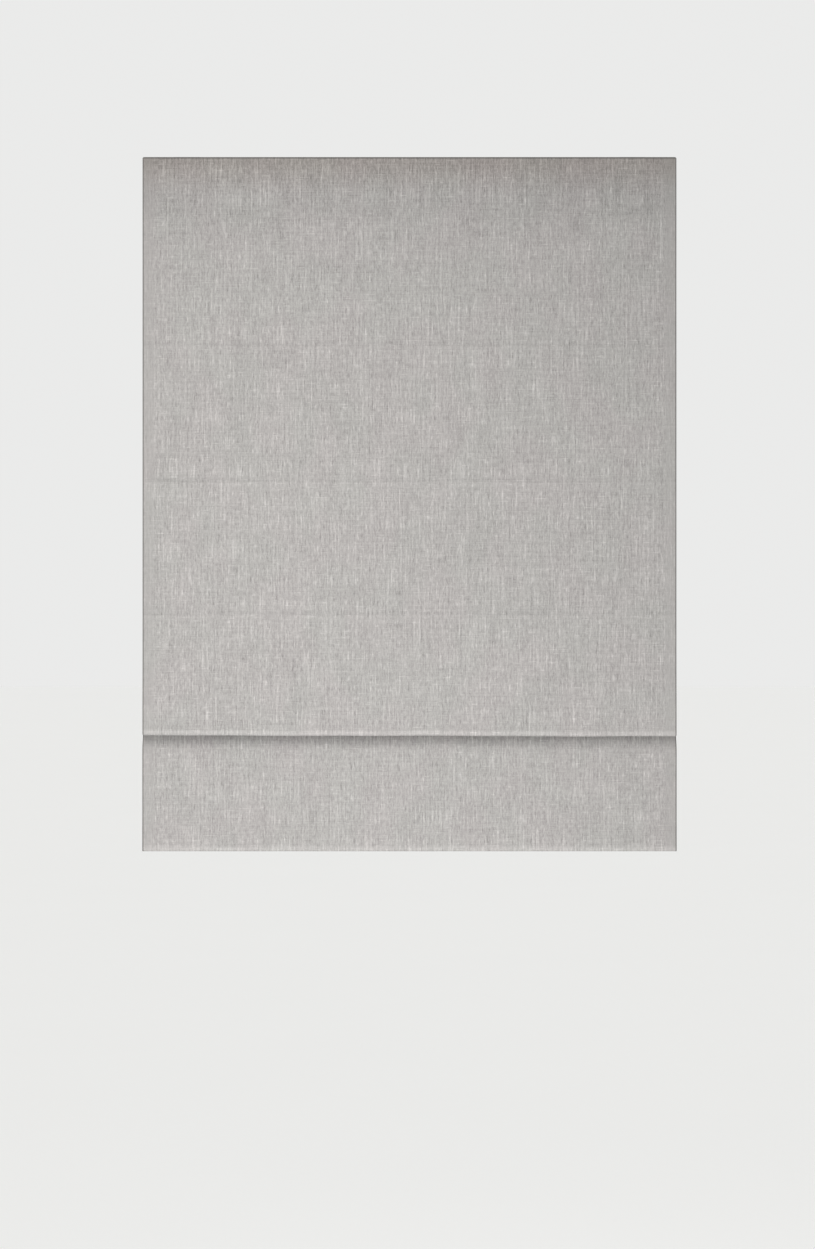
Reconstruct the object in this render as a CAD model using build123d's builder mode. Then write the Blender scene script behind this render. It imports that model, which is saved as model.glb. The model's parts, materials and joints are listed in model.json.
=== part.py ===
from build123d import *
import os
from math import pi

os.makedirs("parts", exist_ok=True)

# Flat roman blind, fixed inside a window opening. Millimetres, +Z up, the front faces -Y.
# Origin: the middle of the screw pattern, on the top faces of the two ceiling brackets.

# ---------------------------------------------------------------- driving dimensions
blind_w = 787.0  # finished width of the cloth
top_z = -1.5  # upper edge of the cloth
seam_z = (-280.8, -481.8, -678.4)  # stitch lines of the three upper batten pockets
seam4_z = -834.3  # stitch line of the lowest batten pocket, behind the fold
crease_z = -855.8  # lower edge of the front layer
hem_z = -1028.7  # lower edge of the blind
front_y = -30.0  # face side of the front layer

face_t = 0.8  # face cloth
lining_a, lining_b = 0.9, 1.4  # lining, as depths behind the face side
turn_a, turn_b = 1.5, 2.3  # turned-back hem, as depths behind the face side
side_hem = 20.0  # width of the turned side hems
top_hem_z = -37.5  # lower end of the top turn-back

fold_r = 4.5  # outer radius of the fold's lower bend
tuck_r = 1.2  # inner radius of the fold's upper bend
hem_r = 2.6  # outer radius of the hem's bend
hem_pocket = 27.0  # height of the bar pocket
hem_top = 42.0  # height of the hem's upper edge

batten_h, batten_t, batten_w = 12.0, 2.0, 738.0
pocket_w, pocket_h, pocket_wall = 744.0, 16.0, 0.5

cord_x, cord_y, cord_d = 280.0, -19.8, 1.4
cord_end_z = -818.5

rail_d, rail_top, rail_bottom, rail_wall, rail_len = 50.0, -1.2, -40.0, 1.4, 781.0
lip = 7.0
cap_t = 2.2

bracket_x, bracket_w, bracket_t = 330.0, 40.0, 1.2
hole_r, hole_y = 2.25, 10.0

axis_y, axis_z = -9.8, -20.0  # lift shaft
shaft_side, shaft_len = 5.0, 608.0
spool_core_r, spool_flange_r, spool_w = 9.0, 13.0, 27.6
journal_r, bearing_r = 4.5, 4.56
wind_r = 10.0  # centre line of the cord on the spool

store_y = 10.2  # axis of the storage drum
motor_half = 24.0
floor_z = rail_bottom + rail_wall

bar_h, bar_t, bar_w = 20.0, 3.0, 766.0

# centres of the fold's two bends, of the hem's bend, and the back section's face side
fold_y, fold_z = front_y + fold_r, crease_z + fold_r
tuck_y = front_y + 2 * fold_r + tuck_r
tuck_z = seam4_z - tuck_r - lining_b
back_y = tuck_y + tuck_r
hem_y, hem_c = back_y + hem_r, hem_z + hem_r


def layer(depth_a, depth_b, z_top, z_bottom):
    """Outline of one layer of cloth between two depths behind the face side, from the top, round both bends of the fold and down the back section."""

    def side(d):
        return [
            ((front_y + d, z_top), (front_y + d, fold_z)),
            (
                (front_y + d, fold_z),
                (fold_y, fold_z - fold_r + d),
                (fold_y + fold_r - d, fold_z),
            ),
            ((fold_y + fold_r - d, fold_z), (fold_y + fold_r - d, tuck_z)),
            (
                (tuck_y - tuck_r - d, tuck_z),
                (tuck_y, tuck_z + tuck_r + d),
                (tuck_y + tuck_r + d, tuck_z),
            ),
            ((tuck_y + tuck_r + d, tuck_z), (tuck_y + tuck_r + d, z_bottom)),
        ]

    for d in (depth_a, depth_b):
        for points in side(d):
            if len(points) == 2:
                Line(*points)
            else:
                ThreePointArc(*points)
    Line((front_y + depth_a, z_top), (front_y + depth_b, z_top))
    Line((back_y + depth_a, z_bottom), (back_y + depth_b, z_bottom))


# ---------------------------------------------------------------- cloth
# Face cloth: one length, turned back at the top and sides, folded once, with a bar pocket at the hem.
with BuildPart() as face_fabric:
    with BuildSketch(Plane.YZ):
        with BuildLine():
            layer(0, face_t, top_z - turn_b / 2, hem_c)
        make_face()
    extrude(amount=blind_w / 2, both=True)
    # top turn-back
    with BuildSketch(Plane.YZ):
        cy, cz = front_y + turn_b / 2, top_z - turn_b / 2
        with BuildLine():
            ThreePointArc((front_y, cz), (cy, top_z), (front_y + turn_b, cz))
            Line((front_y + turn_b, cz), (front_y + turn_b, top_hem_z))
            Line((front_y + turn_b, top_hem_z), (front_y + turn_a, top_hem_z))
            Line((front_y + turn_a, top_hem_z), (front_y + turn_a, cz))
            ThreePointArc(
                (front_y + turn_a, cz), (cy, top_z - face_t), (front_y + face_t, cz)
            )
            Line((front_y + face_t, cz), (front_y, cz))
        make_face()
    extrude(amount=blind_w / 2, both=True)
    # hem: round the bar, up behind it, and flat against the cloth where it is stitched
    with BuildSketch(Plane.YZ):
        out_y, in_y = hem_y + hem_r, hem_y + hem_r - face_t
        with BuildLine():
            ThreePointArc((back_y, hem_c), (hem_y, hem_z), (out_y, hem_c))
            Polyline(
                (out_y, hem_c),
                (out_y, hem_z + hem_pocket),
                (back_y + turn_b, hem_z + hem_pocket + 7),
                (back_y + turn_b, hem_z + hem_top),
                (back_y + turn_a, hem_z + hem_top),
                (back_y + turn_a, hem_z + hem_pocket + 6.8),
                (in_y, hem_z + hem_pocket - 0.2),
                (in_y, hem_c),
            )
            ThreePointArc((in_y, hem_c), (hem_y, hem_z + face_t), (back_y + face_t, hem_c))
            Line((back_y + face_t, hem_c), (back_y, hem_c))
        make_face()
    extrude(amount=blind_w / 2, both=True)
    # side hems
    for s in (-1, 1):
        with BuildSketch(Plane.YZ.offset(s * (blind_w / 2 - side_hem))):
            with BuildLine():
                layer(turn_a, turn_b, top_z - 1.2, hem_z + 38)
            make_face()
        extrude(amount=s * side_hem)
        with BuildSketch(Plane.YZ.offset(s * (blind_w / 2 - face_t))):
            with BuildLine():
                layer(0.4, turn_b - 0.4, top_z - 1.2, hem_z + 38)
            make_face()
        extrude(amount=s * face_t)
face_fabric.part.label = "face_fabric"
export_step(face_fabric.part, "parts/face_fabric.step")

# Lining, with the batten pockets sewn on its back. The lowest pocket stands on top of the fold.
with BuildPart() as lining:
    with BuildSketch(Plane.YZ):
        with BuildLine():
            layer(lining_a, lining_b, top_z - 2.2, hem_z + 36)
        make_face()
    extrude(amount=blind_w / 2 - 1.5, both=True)
    back = front_y + lining_b
    with BuildSketch(Plane.YZ):
        for z in seam_z:
            with BuildLine():
                Polyline(
                    (back, z),
                    (back + 2.3, z),
                    (back + 3.0, z - 0.7),
                    (back + 3.0, z - pocket_h + 0.7),
                    (back + 2.3, z - pocket_h),
                    (back, z - pocket_h),
                    (back, z - pocket_h + pocket_wall),
                    (back + 2.1, z - pocket_h + pocket_wall),
                    (back + 2.5, z - pocket_h + pocket_wall + 0.4),
                    (back + 2.5, z - pocket_wall - 0.4),
                    (back + 2.1, z - pocket_wall),
                    (back, z - pocket_wall),
                    close=True,
                )
            make_face()
    extrude(amount=pocket_w / 2, both=True)
    with BuildSketch(Plane.YZ):
        with Locations((tuck_y, seam4_z + 13.6)):
            Rectangle(3.5, 14.05, align=(Align.CENTER, Align.MAX))
        with Locations((tuck_y, seam4_z + 13.1)):
            Rectangle(2.5, 12.7, align=(Align.CENTER, Align.MAX), mode=Mode.SUBTRACT)
    extrude(amount=pocket_w / 2, both=True)
lining.part.label = "lining"
export_step(lining.part, "parts/lining.step")

# ---------------------------------------------------------------- battens and what is on them
batten_z = [z - 8.5 for z in seam_z] + [seam4_z + 6.7]
batten_y = [front_y + lining_b + 1.2] * 3 + [tuck_y]
for i in range(4):
    with BuildPart() as batten:
        with BuildSketch(Plane.YZ.offset(-batten_w / 2)):
            with Locations((batten_y[i], batten_z[i])):
                RectangleRounded(batten_t, batten_h, 0.6)
        extrude(amount=batten_w)
    batten.part.label = f"batten_{i + 1}"
    export_step(batten.part, f"parts/batten_{i + 1}.step")

# Cord rings: a flat foot sewn to the pocket, and a level ring that the cord runs through.
pocket_back = front_y + lining_b + 3.0
for i in range(3):
    with BuildPart() as rings:
        for s in (-1, 1):
            with BuildSketch(Plane.XZ.offset(-pocket_back)):
                with Locations((s * cord_x, batten_z[i])):
                    RectangleRounded(11, 9, 2)
                    with Locations((-3.4, 0), (3.4, 0)):
                        Circle(0.8, mode=Mode.SUBTRACT)
            extrude(amount=-0.9)
            with Locations((s * cord_x, cord_y, batten_z[i])):
                Torus(4.5, 0.75)
    rings.part.label = f"rings_{i + 1}"
    export_step(rings.part, f"parts/rings_{i + 1}.step")

# Cord anchors: saddles clipped over the lowest batten pocket, each holding the end of a cord.
with BuildPart() as cord_anchors:
    for s in (-1, 1):
        with BuildSketch(Plane.YZ.offset(s * cord_x - 6)):
            with Locations((cord_y, seam4_z + 11.5)):
                RectangleRounded(7.6, 13, 1.6, align=(Align.CENTER, Align.MIN))
                Rectangle(
                    3.6, 4.4, align=(Align.CENTER, Align.MAX), mode=Mode.SUBTRACT
                )
            with Locations((cord_y, seam4_z + 11.4)):
                Rectangle(
                    3.6, 2.3, align=(Align.CENTER, Align.MIN), mode=Mode.SUBTRACT
                )
        extrude(amount=12)
        with Locations((s * cord_x, cord_y, seam4_z + 15)):
            Cylinder(
                0.95, 12, align=(Align.CENTER, Align.CENTER, Align.MIN), mode=Mode.SUBTRACT
            )
cord_anchors.part.label = "cord_anchors"
export_step(cord_anchors.part, "parts/cord_anchors.step")

# ---------------------------------------------------------------- weight bar in the hem
bar_y, bar_z = hem_y, hem_c + 0.6 + bar_h / 2
with BuildPart() as bottom_bar:
    with BuildSketch(Plane.YZ.offset(-bar_w / 2)):
        with Locations((bar_y, bar_z)):
            RectangleRounded(bar_t, bar_h, 0.8)
    extrude(amount=bar_w)
bottom_bar.part.label = "bottom_bar"
export_step(bottom_bar.part, "parts/bottom_bar.step")

for side_name, s in (("left", -1), ("right", 1)):
    with BuildPart() as bar_cap:
        with BuildSketch(Plane.YZ.offset(s * bar_w / 2)):
            with Locations((bar_y, bar_z)):
                RectangleRounded(3.3, bar_h + 0.8, 1.2)
        extrude(amount=s * 4)
        fillet(
            bar_cap.edges().group_by(Axis.X)[-1 if s > 0 else 0], radius=1.0
        )
    bar_cap.part.label = f"bar_cap_{side_name}"
    export_step(bar_cap.part, f"parts/bar_cap_{side_name}.step")

# ---------------------------------------------------------------- headrail
with BuildPart() as headrail:
    with BuildSketch(Plane.YZ.offset(-rail_len / 2)):
        with Locations((0, rail_bottom)):
            Rectangle(rail_d, rail_top - rail_bottom, align=(Align.CENTER, Align.MIN))
        with Locations((0, floor_z)):
            Rectangle(
                rail_d - 2 * rail_wall,
                rail_top - rail_wall - floor_z,
                align=(Align.CENTER, Align.MIN),
                mode=Mode.SUBTRACT,
            )
        with Locations((0, rail_top - rail_wall - 1)):
            Rectangle(
                rail_d - 2 * lip, 5, align=(Align.CENTER, Align.MIN), mode=Mode.SUBTRACT
            )
    extrude(amount=rail_len)
    fillet(
        headrail.edges()
        .filter_by(Axis.X)
        .filter_by(
            lambda e: abs(abs(e.center().Y) - rail_d / 2) < 0.01
        ),
        radius=0.9,
    )
    # cord outlets
    with Locations((-cord_x, cord_y, rail_bottom), (cord_x, cord_y, rail_bottom)):
        Cylinder(3.2, 6, mode=Mode.SUBTRACT)
headrail.part.label = "headrail"
export_step(headrail.part, "parts/headrail.step")

for side_name, s in (("left", -1), ("right", 1)):
    with BuildPart() as end_cap:
        with BuildSketch(Plane.YZ.offset(s * rail_len / 2)):
            with Locations((0, (rail_top + rail_bottom) / 2)):
                RectangleRounded(rail_d, rail_top - rail_bottom, 1.6)
        extrude(amount=s * cap_t)
        fillet(
            end_cap.edges().group_by(Axis.X)[-1 if s > 0 else 0], radius=0.7
        )
        # plug that slides into the channel
        with BuildSketch(Plane.YZ.offset(s * rail_len / 2)):
            with Locations((0, (floor_z + rail_top - rail_wall) / 2)):
                Rectangle(rail_d - 2 * rail_wall - 0.2, rail_top - rail_wall - floor_z - 0.2)
                Rectangle(
                    rail_d - 2 * rail_wall - 3.8,
                    rail_top - rail_wall - floor_z - 3.8,
                    mode=Mode.SUBTRACT,
                )
        extrude(amount=-s * 12)
    end_cap.part.label = f"end_cap_{side_name}"
    export_step(end_cap.part, f"parts/end_cap_{side_name}.step")

# Ceiling brackets: a plate with two screw holes; bent feet catch under the lips of the channel.
lip_y = rail_d / 2 - lip
foot_z = rail_top - rail_wall - 0.2
for side_name, s in (("left", -1), ("right", 1)):
    with BuildPart() as bracket:
        with BuildSketch(Plane.YZ.offset(s * bracket_x - bracket_w / 2)):
            with BuildLine():
                # the rear foot is longer and turned down at its end, as a spring catch
                Polyline(
                    (-20, 0),
                    (20, 0),
                    (20, -bracket_t),
                    (lip_y - 0.4, -bracket_t),
                    (lip_y - 0.4, foot_z),
                    (22.4, foot_z),
                    (23.0, foot_z - 0.6),
                    (23.0, foot_z - 4.2),
                    (21.8, foot_z - 4.2),
                    (21.8, foot_z - bracket_t),
                    (lip_y - 1.6, foot_z - bracket_t),
                    (lip_y - 1.6, -bracket_t),
                    (-lip_y + 1.6, -bracket_t),
                    (-lip_y + 1.6, foot_z - bracket_t),
                    (-23.0, foot_z - bracket_t),
                    (-23.0, foot_z),
                    (-lip_y + 0.4, foot_z),
                    (-lip_y + 0.4, -bracket_t),
                    (-20, -bracket_t),
                    close=True,
                )
            make_face()
        extrude(amount=bracket_w)
        with Locations((s * bracket_x, -hole_y, 0), (s * bracket_x, hole_y, 0)):
            Cylinder(hole_r, 10, mode=Mode.SUBTRACT)
        # corners of the plate
        fillet(
            bracket.edges()
            .filter_by(Axis.Z)
            .filter_by(lambda e: abs(abs(e.center().Y) - 20) < 0.01),
            radius=2.0,
        )
    bracket.part.label = f"bracket_{side_name}"
    export_step(bracket.part, f"parts/bracket_{side_name}.step")

# Hook tape stuck to the front of the headrail, loop tape sewn to the top turn-back.
with BuildPart() as hook_tape:
    with BuildSketch(Plane.YZ.offset(-386)):
        with Locations((-rail_d / 2, -33)):
            Rectangle(1.5, 25, align=(Align.MAX, Align.MIN))
    extrude(amount=772)
hook_tape.part.label = "hook_tape"
export_step(hook_tape.part, "parts/hook_tape.step")

with BuildPart() as loop_tape:
    with BuildSketch(Plane.YZ.offset(-384)):
        with Locations((-rail_d / 2 - 1.5, -33)):
            Rectangle(1.2, 25, align=(Align.MAX, Align.MIN))
    extrude(amount=768)
loop_tape.part.label = "loop_tape"
export_step(loop_tape.part, "parts/loop_tape.step")

# ---------------------------------------------------------------- lift shaft and spools
with BuildPart() as lift_shaft:
    with BuildSketch(Plane.YZ.offset(-shaft_len / 2)):
        with Locations((axis_y, axis_z)):
            RectangleRounded(shaft_side, shaft_side, 0.4)
    extrude(amount=shaft_len)
lift_shaft.part.label = "lift_shaft"
export_step(lift_shaft.part, "parts/lift_shaft.step")

bore = shaft_side + 0.12
with BuildPart() as shaft_collars:
    for s in (-1, 1):
        with BuildSketch(Plane.YZ.offset(s * 298.2)):
            with Locations((axis_y, axis_z)):
                Circle(6)
                Rectangle(bore, bore, mode=Mode.SUBTRACT)
        extrude(amount=s * 5)
        with Locations(Location((s * 300.7, axis_y, axis_z + 6), (0, 0, 0))):
            Cylinder(
                1.2, 3.4, align=(Align.CENTER, Align.CENTER, Align.MAX), mode=Mode.SUBTRACT
            )
shaft_collars.part.label = "shaft_collars"
export_step(shaft_collars.part, "parts/shaft_collars.step")

for side_name, s in (("left", -1), ("right", 1)):
    cx = s * cord_x
    with BuildPart() as spool:
        half, rim = spool_w / 2, 1.4
        with BuildSketch(Plane(origin=(cx, axis_y, axis_z), x_dir=(1, 0, 0), z_dir=(0, -1, 0))):
            with BuildLine():
                Polyline(
                    (-17.6, 0),
                    (-17.6, journal_r - 0.4),
                    (-17.2, journal_r),
                    (-half, journal_r),
                    (-half, spool_flange_r),
                    (-half + rim, spool_flange_r),
                    (-half + rim + 2.5, spool_core_r),
                    (half - rim - 2.5, spool_core_r),
                    (half - rim, spool_flange_r),
                    (half, spool_flange_r),
                    (half, journal_r),
                    (17.2, journal_r),
                    (17.6, journal_r - 0.4),
                    (17.6, 0),
                    close=True,
                )
            make_face()
        revolve(axis=Axis((cx, axis_y, axis_z), (1, 0, 0)))
        with BuildSketch(Plane.YZ.offset(cx - 20)):
            with Locations((axis_y, axis_z)):
                Rectangle(bore, bore)
        extrude(amount=40, mode=Mode.SUBTRACT)
    spool.part.label = f"spool_{side_name}"
    export_step(spool.part, f"parts/spool_{side_name}.step")

    # Cradle: two bearing walls, open at the top so that the spool snaps in, and a cord outlet.
    with BuildPart() as cradle:
        with BuildSketch(Plane.XY.offset(floor_z)):
            with Locations((cx, 0)):
                Rectangle(34, 46.8)
        extrude(amount=2)
        for wall_x in (cx - 17, cx + 14):
            with BuildSketch(Plane.YZ.offset(wall_x)):
                with BuildLine():
                    Polyline(
                        (-23.4, floor_z + 1),
                        (-23.4, -10),
                        (4.6, -10),
                        (9, -23),
                        (21.4, -23),
                        (21.4, -11),
                        (23.4, -11),
                        (23.4, floor_z + 1),
                        close=True,
                    )
                make_face()
                with Locations((axis_y, axis_z)):
                    Circle(bearing_r, mode=Mode.SUBTRACT)
                    Rectangle(
                        2 * bearing_r - 0.9,
                        20,
                        align=(Align.CENTER, Align.MIN),
                        mode=Mode.SUBTRACT,
                    )
            extrude(amount=3)
        with BuildSketch(Plane.XZ.offset(-23.4)):
            with Locations((cx, floor_z + 1)):
                Rectangle(34, 13, align=(Align.CENTER, Align.MIN))
        extrude(amount=1.6)
        # cord outlet through the floor of the channel
        with Locations((cx, cord_y, floor_z + 2)):
            Cylinder(3.0, 7, align=(Align.CENTER, Align.CENTER, Align.MAX))
            Cylinder(1.6, 7, align=(Align.CENTER, Align.CENTER, Align.MAX), mode=Mode.SUBTRACT)
    cradle.part.label = f"cradle_{side_name}"
    export_step(cradle.part, f"parts/cradle_{side_name}.step")

    # Lift cord: from the anchor on the lowest batten, straight up through the rings and the
    # outlet, and three quarters of a turn round the spool.
    with BuildPart() as cord:
        with BuildLine(Plane.YZ.offset(cx)):
            Line((cord_y, cord_end_z), (cord_y, axis_z))
            CenterArc((axis_y, axis_z), wind_r, 180, -270)
        with BuildSketch(Plane(origin=(cx, cord_y, cord_end_z), z_dir=(0, 0, 1))):
            Circle(cord_d / 2)
        sweep()
    length = axis_z - cord_end_z + 1.5 * pi * wind_r
    print("cord", side_name, "length", round(length, 1), "volume share", round(cord.part.volume / (length * pi * cord_d**2 / 4), 4))
    cord.part.label = f"lift_cord_{side_name}"
    export_step(cord.part, f"parts/lift_cord_{side_name}.step")

# ---------------------------------------------------------------- spring motor
# Housing in two halves, split through both axes.
inner = motor_half - 2.5
with BuildPart() as motor_base:
    with BuildSketch(Plane.XY.offset(floor_z)):
        Rectangle(2 * motor_half, 46.4)
    extrude(amount=axis_z - floor_z)
    with BuildSketch(Plane.XY.offset(floor_z + 2)):
        Rectangle(2 * inner, 46.4 - 3.2)
    extrude(amount=axis_z - floor_z, mode=Mode.SUBTRACT)
    # ears for the screws
    with BuildSketch(Plane.XY.offset(floor_z)):
        for sx in (-1, 1):
            with Locations((sx * (motor_half + 3), -18), (sx * (motor_half + 3), 18)):
                Rectangle(6.4, 9)
    extrude(amount=axis_z - floor_z)
    with Locations(
        (-motor_half - 3, -18, axis_z), (-motor_half - 3, 18, axis_z),
        (motor_half + 3, -18, axis_z), (motor_half + 3, 18, axis_z),
    ):
        Cylinder(1.3, 12, align=(Align.CENTER, Align.CENTER, Align.MAX), mode=Mode.SUBTRACT)
    with BuildSketch(Plane.YZ.offset(-motor_half - 8)):
        with Locations((axis_y, axis_z)):
            Circle(bearing_r)
        with Locations((store_y, axis_z)):
            Circle(2.0)
    extrude(amount=2 * motor_half + 16, mode=Mode.SUBTRACT)
motor_base.part.label = "motor_base"
export_step(motor_base.part, "parts/motor_base.step")

with BuildPart() as motor_cover:
    with BuildSketch(Plane.XY.offset(axis_z)):
        Rectangle(2 * motor_half, 46.4)
    extrude(amount=14)
    fillet(motor_cover.edges().group_by(Axis.Z)[-1], radius=2.5)
    with BuildSketch(Plane.XY.offset(axis_z)):
        Rectangle(2 * inner, 46.4 - 3.2)
    extrude(amount=12.2, mode=Mode.SUBTRACT)
    with BuildSketch(Plane.XY.offset(axis_z)):
        for sx in (-1, 1):
            with Locations((sx * (motor_half + 3), -18), (sx * (motor_half + 3), 18)):
                Rectangle(6.4, 9)
    extrude(amount=3)
    with Locations(
        (-motor_half - 3, -18, axis_z), (-motor_half - 3, 18, axis_z),
        (motor_half + 3, -18, axis_z), (motor_half + 3, 18, axis_z),
    ):
        Cylinder(1.5, 8, mode=Mode.SUBTRACT)
    with BuildSketch(Plane.YZ.offset(-motor_half - 8)):
        with Locations((axis_y, axis_z)):
            Circle(bearing_r)
        with Locations((store_y, axis_z)):
            Circle(2.0)
    extrude(amount=2 * motor_half + 16, mode=Mode.SUBTRACT)
motor_cover.part.label = "motor_cover"
export_step(motor_cover.part, "parts/motor_cover.step")

with BuildPart() as motor_screws:
    for sx in (-1, 1):
        for sy in (-1, 1):
            with Locations((sx * (motor_half + 3), sy * 18, axis_z + 3)):
                Cylinder(2.6, 1.8, align=(Align.CENTER, Align.CENTER, Align.MIN))
                Cylinder(1.25, 14, align=(Align.CENTER, Align.CENTER, Align.MAX))
            with Locations((sx * (motor_half + 3), sy * 18, axis_z + 4.8)):
                Box(3.6, 0.7, 0.9, align=(Align.CENTER, Align.CENTER, Align.MAX), mode=Mode.SUBTRACT)
                Box(0.7, 3.6, 0.9, align=(Align.CENTER, Align.CENTER, Align.MAX), mode=Mode.SUBTRACT)
motor_screws.part.label = "motor_screws"
export_step(motor_screws.part, "parts/motor_screws.step")

# Output drum on the shaft; its journals run in the housing.
with BuildPart() as output_drum:
    with BuildSketch(Plane(origin=(0, axis_y, axis_z), x_dir=(1, 0, 0), z_dir=(0, -1, 0))):
        with BuildLine():
            Polyline(
                (-26, 0),
                (-26, journal_r),
                (-21.2, journal_r),
                (-21.2, 9.3),
                (-19.6, 9.3),
                (-19.6, 6.6),
                (19.6, 6.6),
                (19.6, 9.3),
                (21.2, 9.3),
                (21.2, journal_r),
                (26, journal_r),
                (26, 0),
                close=True,
            )
        make_face()
    revolve(axis=Axis((0, axis_y, axis_z), (1, 0, 0)))
    with BuildSketch(Plane.YZ.offset(-30)):
        with Locations((axis_y, axis_z)):
            Rectangle(bore, bore)
    extrude(amount=60, mode=Mode.SUBTRACT)
output_drum.part.label = "output_drum"
export_step(output_drum.part, "parts/output_drum.step")

# Storage drum, turning on a fixed axle.
with BuildPart() as storage_drum:
    with BuildSketch(Plane(origin=(0, store_y, axis_z), x_dir=(1, 0, 0), z_dir=(0, -1, 0))):
        with BuildLine():
            Polyline(
                (-21.2, 2.06),
                (-21.2, 9.3),
                (-19.6, 9.3),
                (-19.6, 5.0),
                (19.6, 5.0),
                (19.6, 9.3),
                (21.2, 9.3),
                (21.2, 2.06),
                close=True,
            )
        make_face()
    revolve(axis=Axis((0, store_y, axis_z), (1, 0, 0)))
storage_drum.part.label = "storage_drum"
export_step(storage_drum.part, "parts/storage_drum.step")

with BuildPart() as storage_axle:
    with BuildSketch(Plane.YZ.offset(-motor_half)):
        with Locations((store_y, axis_z)):
            Circle(1.98)
    extrude(amount=2 * motor_half)
storage_axle.part.label = "storage_axle"
export_step(storage_axle.part, "parts/storage_axle.step")

# Spring ribbon: turns on the output drum, a few on the storage drum, and the crossing run.
out_a, out_b, sto_a, sto_b, ribbon_t = 6.9, 8.6, 5.3, 6.4, 0.3
cos_n = (out_b - ribbon_t / 2 + sto_b - ribbon_t / 2) / (store_y - axis_y)
sin_n = (1 - cos_n**2) ** 0.5
pa = (axis_y + (out_b - ribbon_t / 2) * cos_n, axis_z + (out_b - ribbon_t / 2) * sin_n)
pb = (store_y - (sto_b - ribbon_t / 2) * cos_n, axis_z - (sto_b - ribbon_t / 2) * sin_n)
half_t = ribbon_t / 2
with BuildPart() as motor_spring:
    with BuildSketch(Plane.YZ.offset(-19)):
        with Locations((axis_y, axis_z)):
            Circle(out_b)
            Circle(out_a, mode=Mode.SUBTRACT)
        with BuildSketch(mode=Mode.PRIVATE) as store_turns:
            with Locations((store_y, axis_z)):
                Circle(sto_b)
                Circle(sto_a, mode=Mode.SUBTRACT)
        add(store_turns.sketch)
        with BuildLine():
            Polyline(
                (pa[0] + half_t * cos_n, pa[1] + half_t * sin_n),
                (pb[0] + half_t * cos_n, pb[1] + half_t * sin_n),
                (pb[0] - half_t * cos_n, pb[1] - half_t * sin_n),
                (pa[0] - half_t * cos_n, pa[1] - half_t * sin_n),
                close=True,
            )
        make_face()
    extrude(amount=38)
motor_spring.part.label = "motor_spring"
export_step(motor_spring.part, "parts/motor_spring.step")
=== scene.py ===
import bpy, json, math
import numpy as np
from mathutils import Vector, Matrix

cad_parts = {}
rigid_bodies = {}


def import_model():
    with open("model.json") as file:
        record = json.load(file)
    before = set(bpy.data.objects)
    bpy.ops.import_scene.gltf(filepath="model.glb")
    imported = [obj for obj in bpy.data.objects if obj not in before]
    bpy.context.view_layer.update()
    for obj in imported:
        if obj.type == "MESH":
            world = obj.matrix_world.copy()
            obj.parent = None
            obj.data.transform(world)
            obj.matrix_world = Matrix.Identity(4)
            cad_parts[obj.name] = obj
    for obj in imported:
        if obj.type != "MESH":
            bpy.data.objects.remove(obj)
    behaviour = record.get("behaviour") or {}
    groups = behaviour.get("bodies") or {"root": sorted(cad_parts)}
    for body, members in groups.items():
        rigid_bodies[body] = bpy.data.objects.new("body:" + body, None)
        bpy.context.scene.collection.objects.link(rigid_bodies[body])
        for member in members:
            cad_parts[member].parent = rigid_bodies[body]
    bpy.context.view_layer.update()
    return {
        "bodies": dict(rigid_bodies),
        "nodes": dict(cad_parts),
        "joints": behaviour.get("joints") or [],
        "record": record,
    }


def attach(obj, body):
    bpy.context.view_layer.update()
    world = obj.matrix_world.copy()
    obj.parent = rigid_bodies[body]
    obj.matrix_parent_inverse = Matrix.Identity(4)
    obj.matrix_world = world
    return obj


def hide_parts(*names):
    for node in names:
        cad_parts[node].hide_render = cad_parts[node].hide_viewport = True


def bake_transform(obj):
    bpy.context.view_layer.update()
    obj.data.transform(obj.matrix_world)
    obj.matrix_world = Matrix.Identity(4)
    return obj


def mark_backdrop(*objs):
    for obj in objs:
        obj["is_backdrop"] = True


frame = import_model()
rng = np.random.default_rng(7)

# ------------------------------------------------------------------ sizes, in mm, as in the CAD
W, TOP, FRONT = 787.0, -1.5, -30.0
SEAMS, SEAM4, CREASE, HEM = (-280.8, -481.8, -678.4), -834.3, -855.8, -1028.7
FACE_T, LIN_A, LIN_B, TURN_A, TURN_B = 0.8, 0.9, 1.4, 1.5, 2.3
SIDE_HEM, TOP_HEM = 20.0, -37.5
HEM_OVER = TURN_B + 0.4  # the turned-up hem lies over the ends of the side hems
FOLD_R, TUCK_R, HEM_R, HEM_POCKET, HEM_TOP = 4.5, 1.2, 2.6, 27.0, 42.0
FOLD_Y, FOLD_Z = FRONT + FOLD_R, CREASE + FOLD_R
TUCK_Y = FRONT + 2 * FOLD_R + TUCK_R
TUCK_Z = SEAM4 - TUCK_R - LIN_B
BACK_Y = TUCK_Y + TUCK_R
HEM_Y, HEM_C = BACK_Y + HEM_R, HEM + HEM_R
POCKET_W, POCKET_H = 744.0, 16.0
CORD_X, CORD_Y = 280.0, -19.8
LIFT = next(j for j in frame["joints"] if j["name"] == "lift")["range_m"]
RATIO = {c["joint"]: c["ratio"] for c in frame["record"]["behaviour"]["couplings"]}
RATIOS = [RATIO[f"batten_{i}_lift"] for i in (1, 2, 3)]

# ------------------------------------------------------------------ camera: square on, as in the photograph
MM_PX = 1.478
DIST = 4.5
cam = bpy.data.objects.new("camera", bpy.data.cameras.new("camera"))
bpy.context.scene.collection.objects.link(cam)
bpy.context.scene.camera = cam
cam.location = ((407.5 - 409.5) * MM_PX / 1000, FRONT / 1000 - DIST, (157 - 624.5) * MM_PX / 1000 + TOP / 1000)
cam.rotation_euler = (math.pi / 2, 0, 0)
cam.data.sensor_width = 36
cam.data.lens = 36 * DIST / (1249 * MM_PX / 1000)
cam.data.clip_end = 100


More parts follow.
